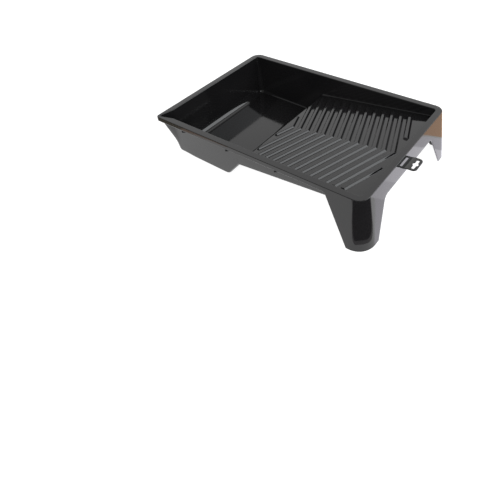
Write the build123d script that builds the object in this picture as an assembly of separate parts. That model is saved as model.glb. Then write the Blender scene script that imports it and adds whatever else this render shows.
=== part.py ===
from build123d import *
import math
import os

# Paint roller tray: a moulded paint reservoir, a sloping ramp with chevron grip ribs, a turned-down
# rim, two hollow legs under the high end of the ramp and a fold-out hanging tab.
# It is drawn with the rim level: x runs from the reservoir end to the leg end, y = 0 is the middle,
# the near side is -y, and z = 0 is at the feet of the legs. settle() then stands it on its floor
# and feet, with the origin at the middle of its footprint.

# Rim
RIM_LENGTH = 435.0
RIM_WIDTH = 290.0
RIM_HEIGHT = 95.7
FLANGE_SIDE = 12.5
FLANGE_RESERVOIR = 11.6
FLANGE_LEG = 12.0
RIM_RADIUS = 18.0
SPOUT_RADIUS = 6.0
LIP_DEPTH = 8.6
WALL = 2.2

# Basin
SIDE_DRAFT = 0.106
END_DRAFT = 0.126
FLOOR_RISE = 12.0
FLOOR_MIDDLE = 84.0
FRONT_EDGE = 183.6
BACK_WALL_ANGLE = 48.0
RAMP_SLOPE = 0.1121
RAMP_END_HEIGHT = 82.6

# Side walls under the rim, between the reservoir and the legs
VALANCE_START_HEIGHT = 49.4
VALANCE_END = (366.0, 67.2)

# Grip ribs
RIB_COUNT = 13
RIB_PITCH = 17.27
RIB_FIRST = 203.5
RIB_BASE = 8.0
RIB_HEIGHT = 3.2
RIB_SWEEP = 0.365
RIB_REACH = 117.0
LAST_RIB_START = 43.5
RAMP_BORDER = 1.4

# Legs and end skirt
LEG_FLARE = 9.5
FOOT_RADIUS = 30.5
LEG_SIDE_TOP = 366.0
LEG_SIDE_EDGE = 368.0
LEG_SIDE_FOOT = 410.0
LEG_END_KNEE = (84.0, 66.0)
LEG_END_FOOT = 113.5

# Spout
SPOUT_LENGTH = 28.0
SPOUT_FOOT = 38.0
SPOUT_RIM = 4.0
SPOUT_LAP = 0.85
SPOUT_SEED = 0.5

# Gussets under the rim
GUSSET_COUNT = 3
GUSSET_FIRST = 62.3
GUSSET_PITCH = 104.3
GUSSET_THICKNESS = 2.0
GUSSET_DROP = 6.5
GUSSET_SLANT = 6.0

# Hanging tab
TAB_MIDDLE = -19.5
TAB_WIDTH = 32.0
TAB_END = 462.5
TAB_THICKNESS = 1.8
TAB_TOP = 87.9
TAB_RADIUS = 7.0
TAB_STRAP = 3.4
TAB_ROOT_GAP = 3.0
HINGE_GAP = 0.35
SLOT_MIDDLE_X = 455.0
SLOT_LENGTH = 24.0
SLOT_WIDTH = 4.8
SLOT_BUMP = 4.6

# Room around the part for the cutting prisms
FAR = 250.0

RIM_BOTTOM = RIM_HEIGHT - WALL
LIP_BOTTOM = RIM_HEIGHT - LIP_DEPTH
GROUND_SLOPE = FLOOR_RISE / (RIM_LENGTH - FLOOR_MIDDLE)


def ground(x):
    """Height of the ground under the tray, which rises away from the legs while the rim is level."""
    return GROUND_SLOPE * (RIM_LENGTH - x)


def ramp(x):
    """Height of the ramp's upper face."""
    return RAMP_END_HEIGHT + RAMP_SLOPE * (x - RIM_LENGTH)


def inner_half_width(z):
    """Distance from the middle to the inner face of a side wall."""
    return RIM_WIDTH / 2 - FLANGE_SIDE - SIDE_DRAFT * (RIM_HEIGHT - z)


def reservoir_face(z):
    """Place of the inner face of the reservoir's end wall."""
    return FLANGE_RESERVOIR + END_DRAFT * (RIM_HEIGHT - z)


def leg_end_face(z):
    """Place of the inner face of the wall at the top of the ramp."""
    return RIM_LENGTH - FLANGE_LEG - END_DRAFT * (RIM_HEIGHT - z)


def flare(z):
    """How far the legs and the end skirt stand out from the rim's edge."""
    return LEG_FLARE * (RIM_BOTTOM - z) / RIM_BOTTOM


def prism_across(points):
    """Solid with a side-view outline of (x, z) points, as wide as the whole tray and more."""
    face = make_face(Plane.XZ * Polyline(*points, close=True))
    return extrude(face, amount=FAR, both=True)


def prism_along(points, start=-FAR, end=3 * FAR):
    """Solid with an end-view outline of (y, z) points, from start to end along the tray."""
    face = make_face(Plane.YZ.offset(start) * Polyline(*points, close=True))
    return extrude(face, amount=end - start, dir=(1, 0, 0))


def slab(x0, x1, y0, y1, z0, z1):
    """Box between two corners."""
    return Pos((x0 + x1) / 2, (y0 + y1) / 2, (z0 + z1) / 2) * Box(x1 - x0, y1 - y0, z1 - z0)


def tread_points(depth):
    """Side-view line of the reservoir floor, its sloping back wall and the ramp, sunk by depth."""
    back_slope = math.tan(math.radians(BACK_WALL_ANGLE))
    shift = depth / math.sin(math.radians(BACK_WALL_ANGLE))
    wall_x = FRONT_EDGE + shift
    wall_z = ramp(FRONT_EDGE)
    floor_z = ground(wall_x) + WALL - depth
    foot_x = wall_x - (wall_z - floor_z) / (back_slope + GROUND_SLOPE)
    edge_x = wall_x + (ramp(wall_x) - depth - wall_z) / (back_slope - RAMP_SLOPE)
    start = (-FAR, ground(-FAR) + WALL - depth)
    foot = (foot_x, ground(foot_x) + WALL - depth)
    edge = (edge_x, ramp(edge_x) - depth)
    end = (3 * FAR, ramp(3 * FAR) - depth)
    return [start, foot, edge, end]


def above_tread(depth):
    """Everything above the floor, back wall and ramp line, as a prism."""
    points = tread_points(depth)
    return prism_across(points + [(3 * FAR, 2 * FAR), (-FAR, 2 * FAR)])


def basin(growth):
    """Drafted block inside the four walls, grown outwards by a wall thickness or not at all."""
    sections = []
    for z in (0.0, RIM_HEIGHT):
        x0 = reservoir_face(z) - growth
        x1 = leg_end_face(z) + growth
        half = inner_half_width(z) + growth
        sections.append(Pos((x0 + x1) / 2, 0, z) * Rectangle(x1 - x0, 2 * half))
    return loft(sections)


def beyond_side(side):
    """Space outside the inner face of the side wall on one side."""
    low, high = inner_half_width(0), inner_half_width(RIM_HEIGHT)
    points = [(side * low, 0), (side * high, RIM_HEIGHT), (side * FAR, RIM_HEIGHT), (side * FAR, 0)]
    return prism_along(points)


def spout_space(growth):
    """Flared hollow of the pouring corner, which opens from the corner's edge up to the rim."""
    x0 = reservoir_face(SPOUT_FOOT)
    y0 = -inner_half_width(SPOUT_FOOT)
    seed = SPOUT_SEED + growth
    corner = SPOUT_RIM - SPOUT_LAP * growth
    side_y = -RIM_WIDTH / 2
    inner_x = reservoir_face(RIM_HEIGHT)
    inner_y = -inner_half_width(RIM_HEIGHT)
    low = [
        (x0 + seed, y0 + seed), (x0 + seed, y0 - seed),
        (x0 - seed, y0 - seed), (x0 - seed, y0 + seed)]
    top = [
        (inner_x + SPOUT_SEED, inner_y + SPOUT_SEED),
        (SPOUT_LENGTH + growth, inner_y - growth),
        (corner, side_y + corner),
        (inner_x - growth, side_y + SPOUT_LENGTH + growth),
    ]
    low_face = Pos(0, 0, SPOUT_FOOT - growth) * make_face(Polyline(*low, close=True))
    top_face = Pos(0, 0, RIM_HEIGHT) * make_face(Polyline(*top, close=True))
    return loft([low_face, top_face], ruled=True)


def shell():
    """The whole reservoir and ramp moulding under the rim, as one thin skin."""
    skin = basin(WALL) & above_tread(WALL)
    skin -= basin(0) & above_tread(0)
    skin &= slab(-FAR, 3 * FAR, -FAR, FAR, 0, RIM_BOTTOM)
    return skin - spout_space(WALL)


def basin_parts():
    """Reservoir floor and walls, ramp deck and walls, cut from the skin along its inner faces."""
    skin = shell()
    foot, edge = tread_points(0)[1:3]
    split_x = edge[0]
    parts = {}
    middle = skin
    for side, name in ((-1, "near"), (1, "far")):
        wall = skin & beyond_side(side)
        parts["reservoir_wall_" + name] = wall & slab(-FAR, split_x, -FAR, FAR, 0, FAR)
        parts["ramp_wall_" + name] = wall & slab(split_x, 3 * FAR, -FAR, FAR, 0, FAR)
        middle -= beyond_side(side)
    before_end = prism_across([
        (reservoir_face(0), 0), (reservoir_face(RIM_HEIGHT), RIM_HEIGHT),
        (-FAR, RIM_HEIGHT), (-FAR, 0)])
    past_ramp = prism_across([
        (leg_end_face(0), 0), (leg_end_face(RIM_HEIGHT), RIM_HEIGHT),
        (3 * FAR, RIM_HEIGHT), (3 * FAR, 0)])
    parts["reservoir_end_wall"] = middle & before_end
    parts["ramp_end_wall"] = middle & past_ramp
    middle -= before_end
    middle -= past_ramp
    parts["reservoir_floor"] = middle & slab(-FAR, foot[0], -FAR, FAR, 0, FAR)
    parts["reservoir_back_wall"] = middle & slab(foot[0], split_x, -FAR, FAR, 0, FAR)
    parts["ramp_deck"] = middle & slab(split_x, 3 * FAR, -FAR, FAR, 0, FAR)
    return parts


def valance(side):
    """Strip that carries a side wall down past the edge of the ramp deck, as far as the leg."""
    edge_x, edge_z = tread_points(WALL)[2]
    back_slope = math.tan(math.radians(BACK_WALL_ANGLE))
    start_x = edge_x - (edge_z - VALANCE_START_HEIGHT) / back_slope
    end_x, end_z = VALANCE_END
    strip = prism_across([
        (start_x, VALANCE_START_HEIGHT), (end_x, end_z), (end_x, ramp(end_x) - WALL), (edge_x, edge_z)])
    return strip & basin(WALL) & beyond_side(side)


def rim_outline(inset):
    """Rim outline with three round corners and a tight pouring corner."""
    face = Pos(RIM_LENGTH / 2, 0) * Rectangle(RIM_LENGTH - 2 * inset, RIM_WIDTH - 2 * inset)
    spout = face.vertices().sort_by(lambda v: v.X + v.Y)[0]
    face = fillet(spout, SPOUT_RADIUS - inset)
    others = [v for v in face.vertices() if v.X > RIM_LENGTH / 2 or v.Y > 0]
    return fillet(others, RIM_RADIUS - inset)


def rim_parts():
    """Flat flange around the top, in four lengths, and the lip turned down from its edge."""
    flange = Pos(0, 0, RIM_BOTTOM) * extrude(rim_outline(0), amount=WALL)
    flange -= basin(0)
    flange -= spout_space(WALL)
    ring = extrude(rim_outline(0), amount=RIM_BOTTOM - LIP_BOTTOM)
    ring -= extrude(rim_outline(WALL), amount=RIM_BOTTOM - LIP_BOTTOM)
    lip = Pos(0, 0, LIP_BOTTOM) * ring
    lip -= spout_space(WALL)
    straight = RIM_WIDTH / 2 - RIM_RADIUS
    parts = {}
    middle = flange
    for side, name in ((-1, "near"), (1, "far")):
        parts["rim_" + name] = flange & beyond_side(side)
        middle -= beyond_side(side)
        y0, y1 = sorted((side * straight, side * FAR))
        parts["lip_corner_" + name] = lip & slab(-FAR, RIM_RADIUS, y0, y1, 0, FAR)
        parts["lip_" + name] = lip & slab(RIM_RADIUS, LEG_SIDE_TOP, y0, y1, 0, FAR)
    parts["rim_reservoir_end"] = middle & slab(-FAR, RIM_LENGTH / 2, -FAR, FAR, 0, FAR)
    parts["rim_leg_end"] = middle & slab(RIM_LENGTH / 2, 3 * FAR, -FAR, FAR, 0, FAR)
    parts["lip_reservoir_end"] = lip & slab(-FAR, RIM_RADIUS, -straight, straight, 0, FAR)
    return parts


def spout():
    """Thin flared skin of the pouring corner."""
    skin = spout_space(WALL) - spout_space(0)
    skin -= basin(0)
    return skin & extrude(rim_outline(0), amount=RIM_HEIGHT)


def leg_block(inset):
    """Flared block inside the rim's edge, rounder at the feet than at the rim."""
    sections = []
    for z, radius in ((0.0, FOOT_RADIUS), (RIM_BOTTOM, RIM_RADIUS)):
        grow = 2 * (flare(z) - inset)
        section = Pos(RIM_LENGTH / 2, 0, z) * Rectangle(RIM_LENGTH + grow, RIM_WIDTH + grow)
        sections.append(fillet(section.vertices(), radius - inset))
    return loft(sections)


def leg_side_outline():
    """Side view of the leg, from the end of the lip to its foot."""
    return [
        (LEG_SIDE_TOP, RIM_BOTTOM), (LEG_SIDE_TOP, LIP_BOTTOM), (LEG_SIDE_EDGE, LIP_BOTTOM),
        (LEG_SIDE_FOOT, 0), (2 * FAR, 0), (2 * FAR, RIM_BOTTOM)]


def leg_end_outline(side):
    """End view of the leg, from the skirt to its foot."""
    knee_y, knee_z = LEG_END_KNEE
    return [
        (side * knee_y, RIM_BOTTOM), (side * knee_y, knee_z), (side * LEG_END_FOOT, 0),
        (side * FAR, 0), (side * FAR, RIM_BOTTOM)]


def leg_parts():
    """Each leg is a side panel, a round corner and an end panel; the skirt joins the two legs."""
    skin = leg_block(0) - leg_block(WALL)
    skin -= prism_across([(-FAR, -1), (-FAR, ground(-FAR)), (2 * FAR, ground(2 * FAR)), (2 * FAR, -FAR)])
    corner_x = RIM_LENGTH - RIM_RADIUS
    corner_y = RIM_WIDTH / 2 - RIM_RADIUS
    foot_back = FOOT_RADIUS - LEG_FLARE
    side_line = [(corner_x, RIM_BOTTOM), (RIM_LENGTH - foot_back, 0), (-FAR, 0), (-FAR, RIM_BOTTOM)]
    before_corner = prism_across(side_line)
    knee_y, knee_z = LEG_END_KNEE
    parts = {}
    for side, name in ((-1, "near"), (1, "far")):
        leg = skin & prism_across(leg_side_outline()) & prism_along(leg_end_outline(side))
        inside = prism_along([
            (side * corner_y, RIM_BOTTOM), (side * (RIM_WIDTH / 2 - foot_back), 0),
            (-side * FAR, 0), (-side * FAR, RIM_BOTTOM)])
        parts["leg_side_" + name] = leg & before_corner
        parts["leg_end_" + name] = (leg & inside) - before_corner
        parts["leg_corner_" + name] = leg - inside - before_corner
        parts["leg_shoulder_" + name] = shoulder(side)
    skirt = skin & slab(corner_x, 2 * FAR, -FAR, FAR, 0, RIM_BOTTOM)
    parts["end_skirt"] = skirt & slab(0, 2 * FAR, -knee_y, knee_y, knee_z, RIM_BOTTOM)
    return parts


def shoulder(side):
    """Web under the flange that closes the step between the side wall and the top of the leg."""
    wall_top = inner_half_width(RIM_BOTTOM) + WALL
    wall_low = inner_half_width(LIP_BOTTOM) + WALL
    inner_top = RIM_WIDTH / 2 - WALL
    inner_low = RIM_WIDTH / 2 + flare(LIP_BOTTOM) - WALL
    points = [
        (side * wall_top, RIM_BOTTOM), (side * inner_top, RIM_BOTTOM),
        (side * inner_low, LIP_BOTTOM), (side * wall_low, LIP_BOTTOM)]
    return prism_along(points, LEG_SIDE_TOP, LEG_SIDE_TOP + WALL)


def gusset(x, side):
    """Small web under the flange, from the lip to the side wall, deeper than the lip."""
    lip_y = RIM_WIDTH / 2 - WALL
    low = LIP_BOTTOM - GUSSET_DROP
    wall_low = low - GUSSET_SLANT
    points = [
        (side * (inner_half_width(RIM_BOTTOM) + WALL), RIM_BOTTOM), (side * lip_y, RIM_BOTTOM),
        (side * lip_y, low), (side * (inner_half_width(wall_low) + WALL), wall_low)]
    return prism_along(points, x - GUSSET_THICKNESS / 2, x + GUSSET_THICKNESS / 2)


def ramp_plane():
    """Plane on the ramp's upper face, with its origin in line with the rim's reservoir end."""
    direction = Vector(1, 0, RAMP_SLOPE).normalized()
    return Plane(origin=(0, 0, ramp(0)), x_dir=direction, z_dir=direction.cross(Vector(0, 1, 0)))


def raised(points):
    """Low plateau on the ramp with an outline of (x, y) points."""
    stretch = math.hypot(1, RAMP_SLOPE)
    outline = [(x * stretch, y) for x, y in points]
    plane = ramp_plane()
    face = make_face(plane * Polyline(*outline, close=True))
    return extrude(face, amount=RIB_HEIGHT, dir=plane.z_dir)


def rib_arm(front, side, start):
    """One arm of a chevron, from a distance start off the middle line to the side of the field."""
    border = FRONT_EDGE + RAMP_BORDER
    front_start = front - RIB_SWEEP * start
    front_end = front - RIB_SWEEP * RIB_REACH
    reach = RIB_REACH
    back_reach = RIB_REACH
    if front_end < border:
        reach = (front - border) / RIB_SWEEP
    if front_end - RIB_BASE < border:
        back_reach = (front - RIB_BASE - border) / RIB_SWEEP
    points = [(front_start, side * start), (front - RIB_SWEEP * reach, side * reach)]
    if back_reach < reach:
        points.append((border, side * reach))
    points.append((front - RIB_BASE - RIB_SWEEP * back_reach, side * back_reach))
    points.append((front_start - RIB_BASE, side * start))
    return raised([p for i, p in enumerate(points) if i == 0 or p != points[i - 1]])


def rib_parts():
    """Front plateau, the full chevrons and the two short arms behind the last of them."""
    border = FRONT_EDGE + RAMP_BORDER
    spread = (RIB_FIRST - border) / RIB_SWEEP
    parts = {"grip_rib_00": raised([(RIB_FIRST, 0), (border, spread), (border, -spread)])}
    for i in range(1, RIB_COUNT):
        front = RIB_FIRST + RIB_PITCH * i
        parts["grip_rib_%02d" % i] = Compound([rib_arm(front, -1, 0), rib_arm(front, 1, 0)])
    last = RIB_FIRST + RIB_PITCH * RIB_COUNT
    arms = [rib_arm(last, side, LAST_RIB_START) for side in (-1, 1)]
    parts["grip_rib_%02d" % RIB_COUNT] = Compound(arms)
    return parts


def hinge_x():
    """Place of the tab's fold line, clear of the end skirt."""
    return RIM_LENGTH + flare(TAB_TOP - TAB_THICKNESS) + HINGE_GAP + TAB_THICKNESS / 2


def hang_tab():
    """Thin tab with a hanging slot, joined to its fold line by two straps."""
    plate_start = hinge_x() + TAB_ROOT_GAP
    length = TAB_END - plate_start
    outline = Pos(plate_start + length / 2, TAB_MIDDLE) * Rectangle(length, TAB_WIDTH)
    outer = [v for v in outline.vertices() if v.X > plate_start + length / 2]
    outline = fillet(outer, TAB_RADIUS)
    slot = Pos(SLOT_MIDDLE_X, TAB_MIDDLE) * Rot(0, 0, 90) * SlotOverall(SLOT_LENGTH, SLOT_WIDTH)
    bump = Pos(SLOT_MIDDLE_X, TAB_MIDDLE) * Circle(SLOT_BUMP)
    plate = extrude(outline - slot - bump, amount=TAB_THICKNESS)
    tab = Pos(0, 0, TAB_TOP - TAB_THICKNESS) * plate
    for side in (-1, 1):
        y1 = TAB_MIDDLE + side * TAB_WIDTH / 2
        y0 = y1 - side * TAB_STRAP
        low, high = sorted((y0, y1))
        middle_z = TAB_TOP - TAB_THICKNESS / 2
        strap = slab(hinge_x(), plate_start, low, high, TAB_TOP - TAB_THICKNESS, TAB_TOP)
        pin = Rot(90, 0, 0) * Cylinder(TAB_THICKNESS / 2, TAB_STRAP)
        knuckle = Pos(hinge_x(), (low + high) / 2, middle_z) * pin
        tab += strap + knuckle
    return tab


def settle(shape):
    """Stand the level-rimmed tray on its floor and feet."""
    feet = Pos(-RIM_LENGTH, 0, 0) * shape
    return Rot(0, -math.degrees(math.atan(GROUND_SLOPE)), 0) * feet


def build():
    """Every sub-part by name, standing on the ground."""
    parts = basin_parts()
    parts.update(rim_parts())
    parts["pour_spout"] = spout()
    parts.update(leg_parts())
    for side, name in ((-1, "near"), (1, "far")):
        parts["valance_" + name] = valance(side)
        webs = [gusset(GUSSET_FIRST + GUSSET_PITCH * i, side) for i in range(GUSSET_COUNT)]
        parts["rim_gussets_" + name] = Compound(webs)
    parts.update(rib_parts())
    parts["hang_tab"] = hang_tab()
    return {name: settle(shape) for name, shape in parts.items()}


def main():
    """Write one file for each sub-part, centred on the middle of the whole tray's footprint."""
    os.makedirs("parts", exist_ok=True)
    parts = build()
    whole = Compound(list(parts.values())).bounding_box()
    shift = Pos(-whole.center().X, -whole.center().Y, -whole.min.Z)
    for name, shape in parts.items():
        export_step(shift * shape, "parts/" + name + ".step")


main()
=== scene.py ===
import math

import bmesh
import bpy
from mathutils import Matrix, Vector


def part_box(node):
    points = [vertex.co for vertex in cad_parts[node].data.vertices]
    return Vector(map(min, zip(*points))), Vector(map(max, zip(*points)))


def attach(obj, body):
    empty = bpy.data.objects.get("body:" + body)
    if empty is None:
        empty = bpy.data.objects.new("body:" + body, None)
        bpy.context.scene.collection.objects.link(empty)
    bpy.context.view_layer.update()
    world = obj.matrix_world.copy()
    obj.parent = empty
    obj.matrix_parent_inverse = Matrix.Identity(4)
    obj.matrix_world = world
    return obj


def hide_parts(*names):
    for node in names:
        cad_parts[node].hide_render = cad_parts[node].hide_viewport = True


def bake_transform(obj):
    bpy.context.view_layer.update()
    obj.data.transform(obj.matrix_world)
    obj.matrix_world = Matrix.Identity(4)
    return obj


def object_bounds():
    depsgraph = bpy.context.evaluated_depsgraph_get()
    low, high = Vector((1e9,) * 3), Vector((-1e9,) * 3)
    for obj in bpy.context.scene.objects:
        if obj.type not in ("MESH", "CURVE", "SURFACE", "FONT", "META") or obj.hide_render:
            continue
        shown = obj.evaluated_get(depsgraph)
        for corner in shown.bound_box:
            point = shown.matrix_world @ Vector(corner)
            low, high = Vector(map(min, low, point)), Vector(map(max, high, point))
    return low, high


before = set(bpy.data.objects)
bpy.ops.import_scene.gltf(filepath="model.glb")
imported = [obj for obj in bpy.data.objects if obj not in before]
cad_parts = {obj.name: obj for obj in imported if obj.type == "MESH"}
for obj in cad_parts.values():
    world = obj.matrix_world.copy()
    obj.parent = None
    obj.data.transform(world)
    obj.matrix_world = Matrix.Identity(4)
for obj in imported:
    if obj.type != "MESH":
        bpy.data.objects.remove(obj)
cad_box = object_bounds()

# The moulding is drawn as in the CAD source: millimetres, rim level, x from the reservoir end to the
# leg end, y = 0 in the middle, z = 0 at the feet. TO_ROW then stands it in the frame.
MM = 0.001

RIM_LENGTH = 435.0
RIM_WIDTH = 290.0
RIM_HEIGHT = 95.7
FLANGE_SIDE = 12.5
FLANGE_RESERVOIR = 11.6
FLANGE_LEG = 12.0
RIM_RADIUS = 18.0
SPOUT_RADIUS = 6.0
LIP_DEPTH = 8.6
WALL = 2.2
RIM_BOTTOM = RIM_HEIGHT - WALL

SIDE_DRAFT = 0.106
END_DRAFT = 0.126
FLOOR_RISE = 12.0
FLOOR_MIDDLE = 84.0
GROUND_SLOPE = FLOOR_RISE / (RIM_LENGTH - FLOOR_MIDDLE)
TILT = math.atan(GROUND_SLOPE)
FRONT_EDGE = 183.6
BACK_WALL_SLOPE = math.tan(math.radians(48.0))
RAMP_SLOPE = 0.1121
RAMP_END_HEIGHT = 82.6

LEG_FLARE = 9.5
FOOT_RADIUS = 30.5
LEG_START = 352.0
LEG_START_RUN = 14.0
LEG_SIDE_TOP = 404.0
LEG_SIDE_EDGE = 368.0
LEG_SIDE_FOOT = 410.0
LEG_EDGE_RADIUS = 2.5
LEG_END_TOP = 114.0
LEG_END_FOOT = 113.5
FOOT_LEVEL = 1.0
SKIRT_BOTTOM = 66.0
SKIRT_HALF = 84.0
SKIRT_FLAT = 74.0
SKIRT_RADIUS = 14.0
VALANCE_START = (182.1, 49.4)
VALANCE_END = (366.0, 67.2)

SPOUT_FOOT = 38.0
SPOUT_TIP = (3.6, -141.4)
SPOUT_TIP_RADIUS = 3.0
SPOUT_SWELL = 1.15

# Fillets of the moulding, measured on its upper and outer faces
SIDE_FILLET = 3.5
RAMP_FILLET = 1.6
END_FILLET = 15.0
CORNER_FILLET = 6.5
WALL_CORNER_TOP = 5.0
WALL_CORNER_FOOT = 10.0
BACK_FILLET = 10.0
EDGE_FILLET = 1.6
RIM_INNER_FILLET = 1.6
RIM_OUTER_FILLET = 1.3
LIP_FILLET = 0.6
LIP_ROOT_FILLET = 0.8
RIM_ROOT_FILLET = 1.4
VALANCE_FILLET = 1.2
# Share of the wall's thickness that the underside's fillets are wider by
UNDER_EDGE = 0.6
UNDER_FOOT = 0.7
# The arc at the back wall's foot ends, and the arc at its upper edge starts, this far before the edge
EDGE_REACH = 12.0
# Longest reach of an arc, as a share of the side it rounds, and the sharpest mitre allowed
CORNER_ROOM = 0.98
FILLET_ROOM = 0.45
MITRE_LIMIT = 0.35
# Points closer than this are one point, in millimetres
MERGE = 0.002
SLIVER = 0.001

RIB_COUNT = 13
RIB_PITCH = 17.27
RIB_FIRST = 203.5
RIB_BASE = 8.0
RIB_SWEEP = 0.365
RIB_REACH = 117.0
LAST_RIB_START = 43.5
RAMP_BORDER = 1.4
RIB_FOOT_SPREAD = 1.6

TAB_MIDDLE = -19.5
TAB_WIDTH = 32.0
TAB_END = 462.3
TAB_THICKNESS = 1.8
TAB_TOP = 87.9
TAB_RADIUS = 7.0
TAB_STRAP = 3.4
TAB_ROOT_GAP = 1.2
STRAP_RADIUS = 0.6
OPENING_RADIUS = 0.7
HINGE_GAP = 0.35
SLOT_MIDDLE_X = 455.0
SLOT_LENGTH = 24.0
SLOT_WIDTH = 4.8
SLOT_BUMP = 4.6
TAB_CORNER_STEPS = 8
SLOT_END_STEPS = 12
SLOT_BUMP_STEPS = 10

KEPT_NODES = ("leg_shoulder_near", "leg_shoulder_far", "rim_gussets_near", "rim_gussets_far")


def row_matrix():
    """Turns the level-rimmed drawing into the frame, whose place is read off the rim at the leg end."""
    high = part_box("rim_leg_end")[1]
    shift = high.x + RIM_BOTTOM * MM * math.sin(TILT)
    turn = Matrix.Rotation(-TILT, 4, "Y")
    to_leg_end = Matrix.Translation((-RIM_LENGTH, 0, 0))
    return Matrix.Translation((shift, 0, 0)) @ turn @ Matrix.Scale(MM, 4) @ to_leg_end


TO_ROW = row_matrix()


# ---------------------------------------------------------------- lines of the moulding

def ground(x):
    """Height of the ground under the level rim."""
    return GROUND_SLOPE * (RIM_LENGTH - x)


def ramp(x):
    """Height of the ramp's upper face."""
    return RAMP_END_HEIGHT + RAMP_SLOPE * (x - RIM_LENGTH)


def flare(z):
    """How far the legs stand out from the rim's edge at a height."""
    return LEG_FLARE * max(0.0, RIM_BOTTOM - z) / RIM_BOTTOM


def mix(a, b, t):
    """Point or number between a and b."""
    return a + (b - a) * t


def smooth(t):
    """Eased step from 0 to 1."""
    t = min(1.0, max(0.0, t))
    return t * t * (3 - 2 * t)


def line_arc(x, left, right, radius, hollow):
    """Height at x of two straight lines, each (height at 0, slope), joined by an arc."""
    (a, m), (b, n) = left, right
    meet = (a - b) / (n - m)
    half = abs(math.atan(n) - math.atan(m)) / 2
    reach = radius * math.tan(half)
    start = meet - reach * math.cos(math.atan(m))
    end = meet + reach * math.cos(math.atan(n))
    if x <= start:
        return a + m * x
    if x >= end:
        return b + n * x
    sign = 1 if hollow else -1
    centre_x = start - sign * radius * math.sin(math.atan(m))
    centre_z = a + m * start + sign * radius * math.cos(math.atan(m))
    return centre_z - sign * math.sqrt(max(0.0, radius ** 2 - (x - centre_x) ** 2))


def tread(x, depth):
    """Height of the reservoir floor, back wall and ramp, sunk by depth to draw the underside."""
    back_angle = math.atan(BACK_WALL_SLOPE)
    floor_line = (ground(0) + WALL - depth, -GROUND_SLOPE)
    wall_x = FRONT_EDGE + depth / math.sin(back_angle)
    wall_line = (ramp(FRONT_EDGE) - BACK_WALL_SLOPE * wall_x, BACK_WALL_SLOPE)
    ramp_line = (ramp(0) - depth, RAMP_SLOPE)
    if x < wall_x - EDGE_REACH:
        return line_arc(x, floor_line, wall_line, BACK_FILLET + depth, True)
    return line_arc(x, wall_line, ramp_line, EDGE_FILLET + UNDER_EDGE * depth, False)


# ---------------------------------------------------------------- columns around the moulding
# A column is one section of the moulding, from the foot of a wall up over the rim, down the lip and
# back under the rim to the underside. Columns stand along each side and end, and in a block around
# each corner. They are closest where the moulding changes most: at the front edge of the ramp, at
# the side of each leg and at the ends of the skirt.

SIDE_STATIONS = (
    [40, 47, 54] + list(range(62, 135, 12)) + [137 + 1.5 * i for i in range(14)] + [161, 168, 175, 180]
    + [182.2 + 0.55 * i for i in range(16)] + list(range(195, 350, 14))
    + [352, 356, 359.5, 362, 364, 365.5, 366.5, 367.5, 368.5, 370, 372, 375, 379, 383, 388, 392])
SKIRT_STATIONS = [
    -109, -104, -100, -97, -94, -91.5, -89.5, -88, -86.5, -85, -83.5, -82, -80, -77.5, -74, -68]
END_STATIONS = (
    SKIRT_STATIONS + [-60 + 10 * i for i in range(13)] + [-y for y in reversed(SKIRT_STATIONS)])

STRAIGHT_STEPS = 4
ARC_STEPS = 12
BLOCK = 2 * STRAIGHT_STEPS + ARC_STEPS
BLOCK_SIDE = 112.0
BLOCK_END = 34.0
BLOCK_LEG = 396.0
FILLET_RUN = 34.0

# Steps of a section on the wall, the fillet at its foot, the rim's edges and the lip
WALL_STEPS = 7
FOOT_STEPS = 6
RIM_STEPS = 4
LIP_STEPS = 4
# The wall step that aims the foot's fillet, the room left under the rim's inner edge, the outer
# face's drop, and the widest wall under the rim as a share of the flange
ABOVE_FILLET = 2
RIM_CLEAR = 2.5
OUTER_DROP = 0.3
THIN_SHARE = 0.42
# How far in the floor is sampled to aim the foot's fillet, and the search for the foot's height
FLOOR_REACH = 30.0
FOOT_GUESS = 20.0
FOOT_ROUNDS = 5


def corner_path(start, tip, end, radius, step):
    """Point number step on the path from start to end that rounds the corner at tip."""
    start, tip, end = Vector(start), Vector(tip), Vector(end)
    to_start = (start - tip).normalized()
    to_end = (end - tip).normalized()
    half = math.acos(max(-1.0, min(1.0, to_start.dot(to_end)))) / 2
    room = CORNER_ROOM * min((start - tip).length, (end - tip).length)
    reach = min(radius / math.tan(half), room)
    radius = reach * math.tan(half)
    first = tip + to_start * reach
    last = tip + to_end * reach
    if step <= STRAIGHT_STEPS:
        return mix(start, first, step / STRAIGHT_STEPS)
    if step >= STRAIGHT_STEPS + ARC_STEPS:
        return mix(last, end, (step - STRAIGHT_STEPS - ARC_STEPS) / STRAIGHT_STEPS)
    centre = tip + (to_start + to_end).normalized() * (radius / math.sin(half))
    sweep = math.pi - 2 * half
    turn = (step - STRAIGHT_STEPS) / ARC_STEPS * sweep
    arm = first - centre
    if to_start.x * to_end.y - to_start.y * to_end.x > 0:
        turn = -turn
    c, s = math.cos(turn), math.sin(turn)
    return centre + Vector((arm.x * c - arm.y * s, arm.x * s + arm.y * c))


def make_columns():
    """All columns in order, counter-clockwise from the near reservoir corner."""
    columns = [("near", x) for x in SIDE_STATIONS]
    columns += [("leg_near", i) for i in range(BLOCK + 1)]
    columns += [("leg", y) for y in END_STATIONS]
    columns += [("leg_far", i) for i in range(BLOCK + 1)]
    columns += [("far", x) for x in reversed(SIDE_STATIONS)]
    columns += [("res_far", i) for i in range(BLOCK + 1)]
    columns += [("res", y) for y in reversed(END_STATIONS)]
    columns += [("res_near", i) for i in range(BLOCK + 1)]
    return columns


COLUMNS = make_columns()


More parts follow.
